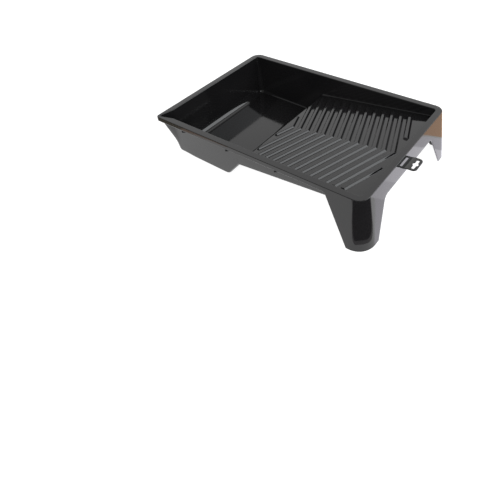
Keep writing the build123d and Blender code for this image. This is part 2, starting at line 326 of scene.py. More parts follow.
def inner_plan(column, z):
    """Place of a column on the inner face of the walls at height z."""
    kind, at = column
    drop = RIM_HEIGHT - z
    half = RIM_WIDTH / 2 - FLANGE_SIDE - SIDE_DRAFT * drop
    x0 = FLANGE_RESERVOIR + END_DRAFT * drop
    x1 = RIM_LENGTH - FLANGE_LEG - END_DRAFT * drop
    if kind == "near":
        return Vector((at, -half))
    if kind == "far":
        return Vector((at, half))
    if kind == "leg":
        return Vector((x1, at))
    if kind == "res":
        return Vector((x0, at))
    radius = mix(WALL_CORNER_TOP, WALL_CORNER_FOOT, drop / RIM_HEIGHT)
    if kind == "leg_near":
        return corner_path((BLOCK_LEG, -half), (x1, -half), (x1, -BLOCK_SIDE), radius, at)
    if kind == "leg_far":
        return corner_path((x1, BLOCK_SIDE), (x1, half), (BLOCK_LEG, half), radius, at)
    if kind == "res_far":
        return corner_path((BLOCK_END, half), (x0, half), (x0, BLOCK_SIDE), radius, at)
    share = (max(0.0, z - SPOUT_FOOT) / (RIM_HEIGHT - SPOUT_FOOT)) ** SPOUT_SWELL
    tip = mix(Vector((x0, -half)), Vector(SPOUT_TIP), share)
    radius = mix(radius, SPOUT_TIP_RADIUS, share)
    return corner_path((x0, -BLOCK_SIDE), tip, (BLOCK_END, -half), radius, at)


def outer_plan(column, z):
    """Place of a column on the outer face of the lip, legs and skirt at height z."""
    kind, at = column
    half = RIM_WIDTH / 2
    out = flare(z)
    if kind in ("near", "far"):
        y = half + out * smooth((at - LEG_START) / LEG_START_RUN)
        return Vector((at, -y if kind == "near" else y))
    if kind == "leg":
        return Vector((RIM_LENGTH + out, at))
    if kind == "res":
        return Vector((0.0, at))
    depth = (RIM_HEIGHT - z) / RIM_HEIGHT
    x1 = RIM_LENGTH + out
    side_start = mix(LEG_SIDE_TOP, LEG_SIDE_FOOT, depth)
    end_start = mix(LEG_END_TOP, LEG_END_FOOT, depth)
    radius = mix(RIM_RADIUS, FOOT_RADIUS, depth)
    y = half + out
    if kind == "leg_near":
        return corner_path((side_start, -y), (x1, -y), (x1, -end_start), radius, at)
    if kind == "leg_far":
        return corner_path((x1, end_start), (x1, y), (side_start, y), radius, at)
    if kind == "res_far":
        return corner_path((BLOCK_END, half), (0, half), (0, BLOCK_SIDE), RIM_RADIUS, at)
    return corner_path((0, -BLOCK_SIDE), (0, -half), (BLOCK_END, -half), SPOUT_RADIUS, at)


def bottom_height(column):
    """Height of the lower edge of the lip, leg or skirt on a column."""
    kind, at = column
    lip = RIM_HEIGHT - LIP_DEPTH
    if kind in ("leg_near", "leg_far"):
        return 0.0
    if kind in ("near", "far"):
        slope = -lip / (LEG_SIDE_FOOT - LEG_SIDE_EDGE)
        return line_arc(at, (lip, 0.0), (-slope * LEG_SIDE_FOOT, slope), LEG_EDGE_RADIUS, False)
    if kind == "leg":
        y = abs(at)
        if y <= SKIRT_FLAT:
            return SKIRT_BOTTOM
        slope = SKIRT_BOTTOM / (LEG_END_FOOT - SKIRT_HALF)
        leg_line = (-SKIRT_BOTTOM - slope * SKIRT_HALF, slope)
        return -line_arc(y, (-SKIRT_BOTTOM, 0.0), leg_line, SKIRT_RADIUS, True)
    return lip


def edge_height(column):
    """Height of the lower edge on a column, no lower than the ground at the feet."""
    low = bottom_height(column)
    if low < FOOT_LEVEL:
        low = max(low, ground(outer_plan(column, 0).x))
    return low


def normals_of(points):
    """Outward plan normal at each point of a closed counter-clockwise outline."""
    count = len(points)
    normals = []
    for i in range(count):
        along = points[(i + 1) % count] - points[i - 1]
        normals.append(Vector((along.y, -along.x)).normalized())
    return normals


def at_height(plan, z):
    """Space point above a plan point."""
    return Vector((plan.x, plan.y, z))


def foot_points():
    """Where each column's wall face meets the floor, back wall or ramp face."""
    points = []
    for column in COLUMNS:
        z = FOOT_GUESS
        for _ in range(FOOT_ROUNDS):
            z = tread(inner_plan(column, z).x, 0)
        points.append(at_height(inner_plan(column, z), z))
    return points


def sunk_points(feet, normals):
    """Where each column's outer wall face meets the underside."""
    sunk = []
    for foot, normal in zip(feet, normals):
        plan = foot.xy + normal * WALL
        sunk.append(at_height(plan, tread(plan.x, WALL)))
    return sunk


def foot_fillet(column):
    """Radius of the fillet at the foot of a wall."""
    kind, at = column
    if kind == "res":
        return mix(CORNER_FILLET, END_FILLET, smooth((BLOCK_SIDE - abs(at)) / FILLET_RUN))
    if kind in ("res_near", "res_far"):
        return CORNER_FILLET
    if kind in ("near", "far"):
        radius = mix(CORNER_FILLET, SIDE_FILLET, smooth((at - BLOCK_END) / FILLET_RUN))
        return mix(radius, RAMP_FILLET, smooth((at - FRONT_EDGE) / FILLET_RUN))
    return RAMP_FILLET


def fillet(before, corner, after, radius, steps):
    """Points of the arc that rounds a corner of a section, cut short where its sides are short."""
    to_before = (before - corner).normalized()
    to_after = (after - corner).normalized()
    half = math.acos(max(-1.0, min(1.0, to_before.dot(to_after)))) / 2
    room = FILLET_ROOM * min((before - corner).length, (after - corner).length)
    reach = min(radius / math.tan(half), room)
    radius = reach * math.tan(half)
    centre = corner + (to_before + to_after).normalized() * (radius / math.sin(half))
    first = corner + to_before * reach - centre
    last = corner + to_after * reach - centre
    sweep = first.angle(last)
    points = []
    for i in range(steps + 1):
        t = i / steps
        arm = first * math.sin((1 - t) * sweep) + last * math.sin(t * sweep)
        points.append(centre + arm / math.sin(sweep))
    return points


def between(a, b, count):
    """Points strictly between two ends."""
    return [mix(a, b, (i + 1) / (count + 1)) for i in range(count)]


def valance_points(column, above, inward):
    """Lower end of a side wall that hangs a little below the ramp deck, between reservoir and leg."""
    share = (column[1] - VALANCE_START[0]) / (VALANCE_END[0] - VALANCE_START[0])
    low = mix(VALANCE_START[1], VALANCE_END[1], share)
    face = inner_plan(column, low)
    out = Vector((0, -1 if column[0] == "near" else 1))
    outer = at_height(face + out * WALL, low)
    inner = at_height(face, low)
    root = at_height(face, inward.z)
    points = fillet(above, outer, inner, LIP_FILLET, 1)
    points += fillet(outer, inner, root, LIP_FILLET, 1)
    return points + fillet(inner, root, inward, VALANCE_FILLET, 2)


def wall_levels(feet):
    """Heights, plans and outward normals of the walls at steps from the floor to the rim."""
    levels = []
    for step in range(1, WALL_STEPS + 1):
        share = step / (WALL_STEPS + 1)
        heights = [mix(foot.z, RIM_HEIGHT, share) for foot in feet]
        plans = [inner_plan(column, z) for column, z in zip(COLUMNS, heights)]
        levels.append((heights, plans, normals_of(plans)))
    return levels


def inner_points(column, foot, normal, above, rim_in, rim_out):
    """Section of the inner face: the fillet at the floor, the wall and the rim's inner edge."""
    floor_in = foot.xy - normal * FLOOR_REACH
    rise = tread(floor_in.x, 0) - foot.z if column[0] in ("res", "leg") else 0
    floor_in = at_height(floor_in, foot.z + rise)
    points = fillet(floor_in, foot, above, foot_fillet(column), FOOT_STEPS)
    low = points[-1].z
    for step in range(1, WALL_STEPS + 1):
        z = mix(low, RIM_HEIGHT - RIM_CLEAR, step / (WALL_STEPS + 1))
        points.append(at_height(inner_plan(column, z), z))
    return points + fillet(points[-1], rim_in, rim_out, RIM_INNER_FILLET, RIM_STEPS)


def lip_points(column, normal, rim_in, rim_out, under_out, under_in):
    """Section of the rim's outer edge, the lip, leg or skirt on both faces, and the rim's root."""
    low = edge_height(column)
    low_out = at_height(outer_plan(column, low), low)
    top_out = at_height(outer_plan(column, RIM_BOTTOM), RIM_BOTTOM)
    low_in = at_height(low_out.xy - normal * WALL, low)
    points = fillet(rim_in, rim_out, top_out, RIM_OUTER_FILLET, RIM_STEPS)
    points += between(points[-1], low_out, LIP_STEPS)
    points += fillet(top_out, low_out, low_in, LIP_FILLET, 2)
    points += fillet(low_out, low_in, under_out, LIP_FILLET, 2)
    points += between(points[-1], under_out, LIP_STEPS)
    return points + fillet(low_in, under_out, under_in, LIP_ROOT_FILLET, 2)


def outer_points(column, wall, sunk, normal, under_out, under_in):
    """Section of the outer face: the rim's root, the wall and the turn to the underside."""
    sunk_in = at_height(sunk.xy - normal * FLOOR_REACH, sunk.z)
    points = fillet(under_out, under_in, wall[0], RIM_ROOT_FILLET, 3)
    points += wall[1:-1]
    if column[0] in ("near", "far") and VALANCE_START[0] < column[1] <= VALANCE_END[0]:
        return points + valance_points(column, wall[-2], sunk_in)
    return points + fillet(wall[-2], sunk, sunk_in, foot_fillet(column) + UNDER_FOOT * WALL, FOOT_STEPS)


def outer_wall(levels, index, top_thickness):
    """Outer face of the wall on one column, from the rim down; it thins where the spout flares."""
    face = []
    for heights, plans, normals in reversed(levels):
        share = smooth((heights[index] - SPOUT_FOOT) / (RIM_HEIGHT - SPOUT_FOOT))
        thickness = mix(WALL, top_thickness, share)
        face.append(at_height(plans[index] + normals[index] * thickness, heights[index] - OUTER_DROP))
    return face


def sections():
    """Closed section of the moulding on every column, from the floor over the rim to the underside."""
    feet = foot_points()
    foot_normals = normals_of([foot.xy for foot in feet])
    sunk = sunk_points(feet, foot_normals)
    rim_inner = [inner_plan(column, RIM_HEIGHT) for column in COLUMNS]
    rim_outer = [outer_plan(column, RIM_HEIGHT) for column in COLUMNS]
    inner_normals = normals_of(rim_inner)
    outer_normals = normals_of(rim_outer)
    levels = wall_levels(feet)
    result = []
    for i, column in enumerate(COLUMNS):
        rim_in = at_height(rim_inner[i], RIM_HEIGHT)
        rim_out = at_height(rim_outer[i], RIM_HEIGHT)
        heights, plans, _ = levels[ABOVE_FILLET]
        above = at_height(plans[i], heights[i])
        under_out = at_height(rim_outer[i] - outer_normals[i] * WALL, RIM_BOTTOM)
        top_thickness = min(WALL, THIN_SHARE * (under_out.xy - rim_inner[i]).length)
        under_in = at_height(rim_inner[i] + inner_normals[i] * top_thickness, RIM_BOTTOM)
        wall = outer_wall(levels, i, top_thickness)
        points = inner_points(column, feet[i], foot_normals[i], above, rim_in, rim_out)
        points += lip_points(column, outer_normals[i], rim_in, rim_out, under_out, under_in)
        points += outer_points(column, wall, sunk[i], foot_normals[i], under_out, under_in)
        result.append(points)
    return result


def build_shell():
    """The whole moulding as one closed mesh: sections all round, closed by the floor above and below."""
    profile = sections()
    count = len(profile)
    rows = len(profile[0])
    mesh = bmesh.new()
    rings = [[mesh.verts.new(p) for p in column] for column in profile]
    for c in range(count):
        after = rings[(c + 1) % count]
        for r in range(rows - 1):
            mesh.faces.new((rings[c][r], after[r], after[r + 1], rings[c][r + 1]))
    fill_floor(mesh, [ring[0] for ring in rings], 0.0)
    fill_floor(mesh, [ring[-1] for ring in rings], WALL)
    bmesh.ops.recalc_face_normals(mesh, faces=mesh.faces[:])
    return mesh


# The floor's grid lines straighten out over these lengths from the reservoir end and the leg end
LEFT_BLEND = 30.0
RIGHT_BLEND = 20.0


def fill_floor(mesh, border, depth):
    """Fills the floor, back wall and ramp face with a grid whose lines follow the side stations."""
    sides = len(SIDE_STATIONS)
    ends = len(END_STATIONS)
    half = BLOCK // 2
    total = len(border)
    across = ends + BLOCK + 2
    along = sides + BLOCK + 2
    first = total - (BLOCK + 1 - half)
    near = [border[(first + i) % total] for i in range(along)]
    right = [border[(first + along - 1 + i) % total] for i in range(across)]
    far = [border[(first + along + across - 2 + i) % total] for i in range(along)][::-1]
    left = [border[(first + 2 * along + across - 3 + i) % total] for i in range(across)][::-1]
    grid = [[None] * across for _ in range(along)]
    for i in range(along):
        grid[i][0], grid[i][-1] = near[i], far[i]
    for j in range(across):
        grid[0][j], grid[-1][j] = left[j], right[j]
    x_left, x_right = left[across // 2].co.x, right[across // 2].co.x
    for i in range(1, along - 1):
        x = near[i].co.x
        left_pull = 1 - smooth((x - x_left) / LEFT_BLEND)
        right_pull = 1 - smooth((x_right - x) / RIGHT_BLEND)
        for j in range(1, across - 1):
            share = mix(share_of(left, j), share_of(right, j), smooth((x - x_left) / (x_right - x_left)))
            px = x + left_pull * (left[j].co.x - left[0].co.x) + right_pull * (right[j].co.x - right[0].co.x)
            py = mix(near[i].co.y, far[i].co.y, share)
            grid[i][j] = mesh.verts.new((px, py, tread(px, depth)))
    for i in range(along - 1):
        for j in range(across - 1):
            mesh.faces.new((grid[i][j], grid[i + 1][j], grid[i + 1][j + 1], grid[i][j + 1]))


def share_of(line, j):
    """How far along an end line a point lies, from 0 at the near side to 1 at the far side."""
    return (line[j].co.y - line[0].co.y) / (line[-1].co.y - line[0].co.y)


def add_object(name, mesh):
    """Object made from a bmesh drawn in level-rim millimetres, placed in the frame."""
    bmesh.ops.remove_doubles(mesh, verts=mesh.verts[:], dist=MERGE)
    bmesh.ops.dissolve_degenerate(mesh, edges=mesh.edges[:], dist=SLIVER)
    data = bpy.data.meshes.new(name)
    mesh.to_mesh(data)
    mesh.free()
    data.transform(TO_ROW)
    for polygon in data.polygons:
        polygon.use_smooth = True
    piece = bpy.data.objects.new(name, data)
    bpy.context.scene.collection.objects.link(piece)
    return piece


def weigh_normals(piece):
    """Keeps broad flat faces flat in the shading, with the turn left to the fillets."""
    modifier = piece.modifiers.new("weighted_normals", "WEIGHTED_NORMAL")
    modifier.mode = "FACE_AREA"
    modifier.weight = 100
    modifier.keep_sharp = True


# ---------------------------------------------------------------- grip ribs

def inset_outline(points, distance):
    """Closed counter-clockwise outline moved inwards, with mitred corners."""
    count = len(points)
    moved = []
    for i, p in enumerate(points):
        a = (p - points[i - 1]).normalized()
        b = (points[(i + 1) % count] - p).normalized()
        na, nb = Vector((-a.y, a.x)), Vector((-b.y, b.x))
        bisector = (na + nb).normalized()
        moved.append(p + bisector * (distance / max(MITRE_LIMIT, bisector.dot(na))))
    return moved


def rounded_outline(points, radius, steps):
    """Closed outline with each corner replaced by a small arc."""
    count = len(points)
    result = []
    for i, p in enumerate(points):
        before = at_height(points[i - 1], 0)
        after = at_height(points[(i + 1) % count], 0)
        result += [q.xy for q in fillet(before, at_height(p, 0), after, radius, steps)]
    return result


# Height above the ramp and inset of the outline there: a foot fillet, a drafted side, a round edge
RIB_LEVELS = (
    (-0.3, -RIB_FOOT_SPREAD), (0.0, -1.5), (0.12, -1.15), (0.4, -0.85), (1.5, 0.0), (2.45, 0.75),
    (2.8, 1.05), (3.02, 1.35), (3.15, 1.75), (3.2, 2.15))
RIB_CORNER = 2.4
RIB_CORNER_STEPS = 6


def raise_outline(mesh, outline):
    """Raises a low bar with drafted sides and rounded edges from an outline on the ramp."""
    normal = Vector((-RAMP_SLOPE, 0, 1)).normalized()
    rings = []
    for height, inset in RIB_LEVELS:
        ring = []
        for p in inset_outline(outline, inset):
            base = Vector((p.x, p.y, ramp(p.x)))
            ring.append(mesh.verts.new(base + normal * height))
        rings.append(ring)
    count = len(outline)
    for low, high in zip(rings, rings[1:]):
        for i in range(count):
            j = (i + 1) % count
            mesh.faces.new((low[i], low[j], high[j], high[i]))
    close_outline(mesh, rings[-1])
    close_outline(mesh, rings[0])


def close_outline(mesh, ring):
    """Closes an outline: a strip between the two long sides of a chevron, one face otherwise."""
    corner = RIB_CORNER_STEPS + 1
    if len(ring) != 6 * corner:
        mesh.faces.new(ring)
        return
    front = ring[5 * corner:] + ring[:2 * corner]
    back = ring[2 * corner:5 * corner][::-1]
    for i in range(len(front) - 1):
        mesh.faces.new((front[i], front[i + 1], back[i + 1], back[i]))


def rib_outlines(index):
    """Plan outlines of one chevron: a full V, the front plateau, or the two last short arms."""
    border = FRONT_EDGE + RAMP_BORDER + RIB_FOOT_SPREAD
    if index == 0:
        spread = (RIB_FIRST - border) / RIB_SWEEP
        return [[Vector((RIB_FIRST, 0)), Vector((border, spread)), Vector((border, -spread))]]
    front = RIB_FIRST + RIB_PITCH * index
    back = front - RIB_BASE
    start = LAST_RIB_START if index == RIB_COUNT else 0.0
    halves = []
    for side in (-1, 1):
        reach_front = min(RIB_REACH, (front - border) / RIB_SWEEP)
        reach_back = min(RIB_REACH, (back - border) / RIB_SWEEP)
        points = [Vector((front - RIB_SWEEP * start, side * start))]
        points.append(Vector((front - RIB_SWEEP * reach_front, side * reach_front)))
        if reach_back < reach_front:
            points.append(Vector((border, side * reach_back)))
        else:
            points.append(Vector((back - RIB_SWEEP * reach_back, side * reach_back)))
        points.append(Vector((back - RIB_SWEEP * start, side * start)))
        halves.append(points)
    near, far = halves
    if index == RIB_COUNT:
        return [near[::-1], far]
    return [far + near[-2:0:-1]]


def build_rib(index):
    """One grip rib of the chevron field."""
    mesh = bmesh.new()
    for outline in rib_outlines(index):
        if sum(a.x * b.y - a.y * b.x for a, b in zip(outline, outline[1:] + outline[:1])) < 0:
            outline = outline[::-1]
        raise_outline(mesh, rounded_outline(outline, RIB_CORNER, RIB_CORNER_STEPS))
    bmesh.ops.recalc_face_normals(mesh, faces=mesh.faces[:])
    return mesh


# ---------------------------------------------------------------- hanging tab

def hinge_x():
    """Place of the tab's fold line."""
    return RIM_LENGTH + flare(TAB_TOP - TAB_THICKNESS) + HINGE_GAP + TAB_THICKNESS / 2


def tab_outline():
    """Outline of the tab: a plate with round outer corners and two straps back to the fold line."""
    root = hinge_x() - TAB_THICKNESS / 2
    plate = hinge_x() + TAB_ROOT_GAP
    low = TAB_MIDDLE - TAB_WIDTH / 2
    high = TAB_MIDDLE + TAB_WIDTH / 2
    corners = [
        (root, low, STRAP_RADIUS), (TAB_END, low, TAB_RADIUS),
        (TAB_END, high, TAB_RADIUS), (root, high, STRAP_RADIUS),
        (root, high - TAB_STRAP, STRAP_RADIUS), (plate, high - TAB_STRAP, OPENING_RADIUS),
        (plate, low + TAB_STRAP, OPENING_RADIUS), (root, low + TAB_STRAP, STRAP_RADIUS)]
    points = []
    for i, (x, y, radius) in enumerate(corners):
        before = Vector((*corners[i - 1][:2], 0))
        after = Vector((*corners[(i + 1) % len(corners)][:2], 0))
        points += [q.xy for q in fillet(before, Vector((x, y, 0)), after, radius, TAB_CORNER_STEPS)]
    return points


def arc_points(end, radius, start, sweep, steps):
    """Points of an arc, counter-clockwise from an angle, round a point on the slot's long axis."""
    points = []
    for i in range(steps + 1):
        turn = start + sweep * i / steps
        points.append(Vector((radius * math.cos(turn), end + radius * math.sin(turn))))
    return points


def slot_outline():
    """Outline of the hanging slot: a long slot with a round widening in the middle."""
    half = SLOT_WIDTH / 2
    straight = SLOT_LENGTH / 2 - half
    meet = math.atan2(math.sqrt(SLOT_BUMP ** 2 - half ** 2), -half)
    points = []
    for turn, end in ((0.0, straight), (math.pi, -straight)):
        points += arc_points(end, half, turn, math.pi, SLOT_END_STEPS)
        points += arc_points(0.0, SLOT_BUMP, turn + meet, 2 * (math.pi - meet), SLOT_BUMP_STEPS)
    return [Vector((SLOT_MIDDLE_X, TAB_MIDDLE)) + p for p in points]


# Height above the tab's middle and inset of the outline there: a plate with rounded edges
TAB_LEVELS = (
    (-0.9, 0.42), (-0.86, 0.2), (-0.76, 0.06), (-0.55, 0.0),
    (0.55, 0.0), (0.76, 0.06), (0.86, 0.2), (0.9, 0.42))
CRANK_START = 1.5
CRANK_LENGTH = 12.0
CRANK_RISE = 2.0
CRANK_CUTS = 20


def cap_loops(mesh, loops):
    """Closes one face of the tab, between its outline and its slot."""
    edges = []
    for ring in loops:
        edges += [mesh.edges.get((a, b)) for a, b in zip(ring, ring[1:] + ring[:1])]
    bmesh.ops.triangle_fill(mesh, use_beauty=True, use_dissolve=False, edges=edges)


def crank_tab(mesh):
    """Bends the tab gently upwards between its straps and its slot."""
    start = hinge_x() + CRANK_START
    for i in range(CRANK_CUTS + 1):
        x = start + CRANK_LENGTH * i / CRANK_CUTS
        everything = mesh.verts[:] + mesh.edges[:] + mesh.faces[:]
        bmesh.ops.bisect_plane(mesh, geom=everything, dist=SLIVER, plane_co=(x, 0, 0), plane_no=(1, 0, 0))
    for vert in mesh.verts:
        vert.co.z += CRANK_RISE * smooth((vert.co.x - start) / CRANK_LENGTH)


def build_tab():
    """Hanging tab: a thin plate with rounded edges, two straps, a hanging slot and a slight crank."""
    middle = TAB_TOP - TAB_THICKNESS / 2
    mesh = bmesh.new()
    bottoms = []
    tops = []
    for outline, inwards in ((tab_outline(), 1), (slot_outline(), -1)):
        rings = []
        for height, inset in TAB_LEVELS:
            moved = inset_outline(outline, inwards * inset)
            rings.append([mesh.verts.new((p.x, p.y, middle + height)) for p in moved])
        for low, high in zip(rings, rings[1:]):
            for i in range(len(low)):
                j = (i + 1) % len(low)
                mesh.faces.new((low[i], low[j], high[j], high[i]))
        bottoms.append(rings[0])
        tops.append(rings[-1])
    cap_loops(mesh, bottoms)
    cap_loops(mesh, tops)
    crank_tab(mesh)
    bmesh.ops.recalc_face_normals(mesh, faces=mesh.faces[:])
    return mesh


WEB_STEPS = 12
WEB_ROOT = 0.3
WEB_REACH = 1.2
WEB_THIN = 0.3
WEB_THICKEN = 0.35
WEB_SIDE = 0.3


def build_web(side):
    """Thin living-hinge web between the end skirt and one strap of the tab."""
    outer = TAB_MIDDLE + side * TAB_WIDTH / 2
    inner = outer - side * TAB_STRAP
    low, high = sorted((outer, inner))
    x0 = RIM_LENGTH + flare(TAB_TOP) - WEB_ROOT
    x1 = hinge_x() + WEB_REACH
    middle = TAB_TOP - TAB_THICKNESS / 2
    across = (
        (low + WEB_SIDE, -1), (high - WEB_SIDE, -1), (high - WEB_SIDE / 2, 0),
        (high - WEB_SIDE, 1), (low + WEB_SIDE, 1), (low + WEB_SIDE / 2, 0))
    mesh = bmesh.new()
    rings = []
    for i in range(WEB_STEPS + 1):
        t = i / WEB_STEPS
        thick = WEB_THIN + WEB_THICKEN * (2 * t - 1) ** 2
        rings.append([mesh.verts.new((mix(x0, x1, t), y, middle + z * thick)) for y, z in across])
    for a, b in zip(rings, rings[1:]):
        for i in range(len(across)):
            j = (i + 1) % len(across)
            mesh.faces.new((a[i], a[j], b[j], b[i]))
    mesh.faces.new(rings[0][::-1])
    mesh.faces.new(rings[-1])
    bmesh.ops.recalc_face_normals(mesh, faces=mesh.faces[:])
    return mesh


# ---------------------------------------------------------------- materials

def new_material(name):
    """Node material with a shader wired to its output; gives its node tree and shader as well."""
    material = bpy.data.materials.new(name)
    material.use_nodes = True
    tree = material.node_tree
    tree.nodes.clear()
    output = tree.nodes.new("ShaderNodeOutputMaterial")
    shader = tree.nodes.new("ShaderNodeBsdfPrincipled")
    tree.links.new(shader.outputs["BSDF"], output.inputs["Surface"])
    return material, tree, shader


def noise(tree, scale, detail, vector):
    """Noise texture at a scale in features per metre."""
    node = tree.nodes.new("ShaderNodeTexNoise")
    node.inputs["Scale"].default_value = scale
    node.inputs["Detail"].default_value = detail
    tree.links.new(vector, node.inputs["Vector"])
    return node.outputs["Fac"]


def remap(tree, value, low, high, out_low, out_high):
    """Stretches a value from one range to another."""
    node = tree.nodes.new("ShaderNodeMapRange")
    node.inputs["From Min"].default_value = low
    node.inputs["From Max"].default_value = high
    node.inputs["To Min"].default_value = out_low
    node.inputs["To Max"].default_value = out_high
    tree.links.new(value, node.inputs["Value"])
    return node.outputs["Result"]


def bump(tree, height, strength, distance):
    """Bump node for a height, with its depth in metres."""
    node = tree.nodes.new("ShaderNodeBump")
    node.inputs["Strength"].default_value = strength
    node.inputs["Distance"].default_value = distance
    tree.links.new(height, node.inputs["Height"])
    return node


FLOW_SCALE = 9.0
SCUFF_SCALE = 160.0
GRAIN_SCALE = 900.0
GRAIN_STRENGTH = 0.06
GRAIN_DEPTH = 0.0001
WAVE_DEPTH = 0.001
SCUFF_SPREAD = (0.12, 0.42)


def black_plastic(name, base, rough_low, rough_high, ripple):
    """Glossy black moulded plastic: faint flow marks, fine scuffs and a slight ripple."""
    material, tree, shader = new_material(name)
    place = tree.nodes.new("ShaderNodeTexCoord").outputs["Object"]
    flow = noise(tree, FLOW_SCALE, 3.0, place)
    grain = noise(tree, GRAIN_SCALE, 2.0, place)
    scuff = noise(tree, SCUFF_SCALE, 6.0, place)
    shades = tree.nodes.new("ShaderNodeValToRGB")
    darker, lighter = shades.color_ramp.elements
    darker.position = 0.3
    darker.color = (base * 0.8, base * 0.8, base * 0.85, 1)
    lighter.position = 0.75
    lighter.color = (base * 1.25, base * 1.2, base * 1.25, 1)
    tree.links.new(flow, shades.inputs["Fac"])
    tree.links.new(shades.outputs["Color"], shader.inputs["Base Color"])
    blend = tree.nodes.new("ShaderNodeMath")
    blend.operation = "MULTIPLY"
    tree.links.new(flow, blend.inputs[0])
    tree.links.new(scuff, blend.inputs[1])
    roughness = remap(tree, blend.outputs["Value"], *SCUFF_SPREAD, rough_low, rough_high)
    tree.links.new(roughness, shader.inputs["Roughness"])
    wave = bump(tree, flow, ripple, WAVE_DEPTH)
    fine = bump(tree, grain, GRAIN_STRENGTH, GRAIN_DEPTH)
    tree.links.new(wave.outputs["Normal"], fine.inputs["Normal"])
    tree.links.new(fine.outputs["Normal"], shader.inputs["Normal"])
    shader.inputs["IOR"].default_value = 1.5
    return material


# ---------------------------------------------------------------- stage, light and camera

FLOOR_HALF = 6.0
FLOOR_SHADE = 0.3
FLOOR_GLOW = 0.93
DOME_RADIUS = 5.0
DOME_DARK = 0.3
WALL_GLOW = 1.1
WALL_DIRECTION = (-0.484, 0.661, 0.574)
WALL_SPREAD = (0.7, 0.88)
WINDOW_PLACE = (1.0, 0.65, 1.05)
WINDOW_SIZE = (1.9, 1.0)
WINDOW_RADIANCE = 3.3
WINDOW_COLOUR = (0.95, 0.98, 1.0)
FILL_PLACE = (0.5, -1.2, 0.9)
FILL_SIZE = (1.6, 1.2)
FILL_RADIANCE = 2.6
# Glows of the cards, each seen only in the tray's gloss as a painted reflection
PAINTED_LEG_DARK_REFLECTION = (0.05, 0.045, 0.05)
PAINTED_SPOUT_REFLECTION = (0.3, 0.25, 0.18)
PAINTED_NEAR_REFLECTION = (0.8, 0.55, 0.4)
PAINTED_FAR_REFLECTION = (1.3, 0.85, 0.58)
PAINTED_END_REFLECTION = (1.62, 1.58, 1.7)
PAINTED_LEG_RING_REFLECTION = (0.45, 0.43, 0.44)

# Plan outlines of the glowing cards, in metres on the floor; each paints a reflection into the tray's gloss.
# They end where the painted reflection in the tray ends.
# Umber and sepia glowing cards: paint the brown band reflected in the lip under the near rim, darkest at the
# spout
SPOUT_CARD = (
    (-0.9, -0.165), (-0.36, -0.199), (-0.33, -0.202), (-0.255, -0.2095), (-0.255, -1.2), (-0.9, -1.2))
NEAR_CARD = (
    (-0.255, -0.2095), (-0.2, -0.2165), (-0.14, -0.224), (-0.14, -1.2), (-0.255, -1.2))
# Dark glowing card with a grey ring round it: paints the dark reflection on the near leg's corner
LEG_RING = (
    (0.2, -0.167), (0.19, -0.18), (0.178, -0.205), (0.15, -0.25), (0.0, -0.4), (0.0, -1.2), (0.9, -1.2),
    (0.9, 0.1), (0.5, 0.1), (0.3, 0.0), (0.265, -0.06), (0.247, -0.09), (0.235, -0.12), (0.228, -0.146),
    (0.22, -0.158), (0.21, -0.165))
LEG_CARD = (
    (0.2, -0.177), (0.193, -0.187), (0.182, -0.21), (0.154, -0.255), (0.0, -0.41), (0.0, -1.2), (0.9, -1.2),
    (0.9, 0.09), (0.5, 0.09), (0.306, -0.012), (0.271, -0.066), (0.255, -0.094), (0.244, -0.123),
    (0.237, -0.15), (0.227, -0.166), (0.214, -0.174))
# Pale glowing card: paints a bright reflection on the leg end
END_CARD = (
    (0.19, -0.14), (0.222, -0.12), (0.239, -0.085), (0.258, -0.05), (0.3, 0.02), (0.45, 0.1), (0.45, 0.19),
    (0.19, 0.19))
# Brown glowing card on the far side of the floor: a painted brown reflection in the tray's gloss
FAR_CARD = ((0.1, 0.195), (0.5, 0.195), (0.5, 0.9), (0.1, 0.9))
# Two pale glowing cards, the higher one brighter: paint a bright reflection on the end skirt and the far leg
SKIRT_CARDS = (("skirt_card_low", -0.02, 1.95), ("skirt_card_high", 0.03, 2.3))
SKIRT_CARD_X = (0.19, 0.45)
SKIRT_CARD_END = 0.15
SKIRT_CARD_LIFT = 0.0001
CARD_HEIGHT = 0.0006
RING_HEIGHT = 0.0004


def stage_piece(name, mesh, material):
    """Piece of the studio, which isn't part of the tray."""
    data = bpy.data.meshes.new(name)
    mesh.to_mesh(data)
    mesh.free()
    data.materials.append(material)
    piece = bpy.data.objects.new(name, data)
    bpy.context.scene.collection.objects.link(piece)
    return piece


def build_floor():
    """Plain pale floor, so evenly lit that no shadow shows on it."""
    mesh = bmesh.new()
    bmesh.ops.create_grid(mesh, x_segments=8, y_segments=8, size=FLOOR_HALF)
    material, _, shader = new_material("pale_floor")
    shader.inputs["Base Color"].default_value = (FLOOR_SHADE, FLOOR_SHADE, FLOOR_SHADE, 1)
    shader.inputs["Roughness"].default_value = 0.8
    shader.inputs["Emission Color"].default_value = (1, 1, 1, 1)
    shader.inputs["Emission Strength"].default_value = FLOOR_GLOW
    stage_piece("floor", mesh, material)


def glow_material(name, colour):
    """Even glow of one colour."""
    material = bpy.data.materials.new(name)
    material.use_nodes = True
    tree = material.node_tree
    tree.nodes.clear()
    output = tree.nodes.new("ShaderNodeOutputMaterial")
    glow = tree.nodes.new("ShaderNodeEmission")
    glow.inputs["Color"].default_value = (*colour, 1)
    tree.links.new(glow.outputs["Emission"], output.inputs["Surface"])
    return material


def build_card(name, corners, colour, height=CARD_HEIGHT):
    """Glowing card on the pale floor, seen only in the gloss of the tray: a painted reflection of its
    colour, which lights nothing and casts no shadow.
    """
    mesh = bmesh.new()
    mesh.faces.new([mesh.verts.new((x, y, height)) for x, y in corners])
    card = stage_piece(name, mesh, glow_material(name, colour))
    card.visible_camera = False
    card.visible_diffuse = False
    card.visible_shadow = False


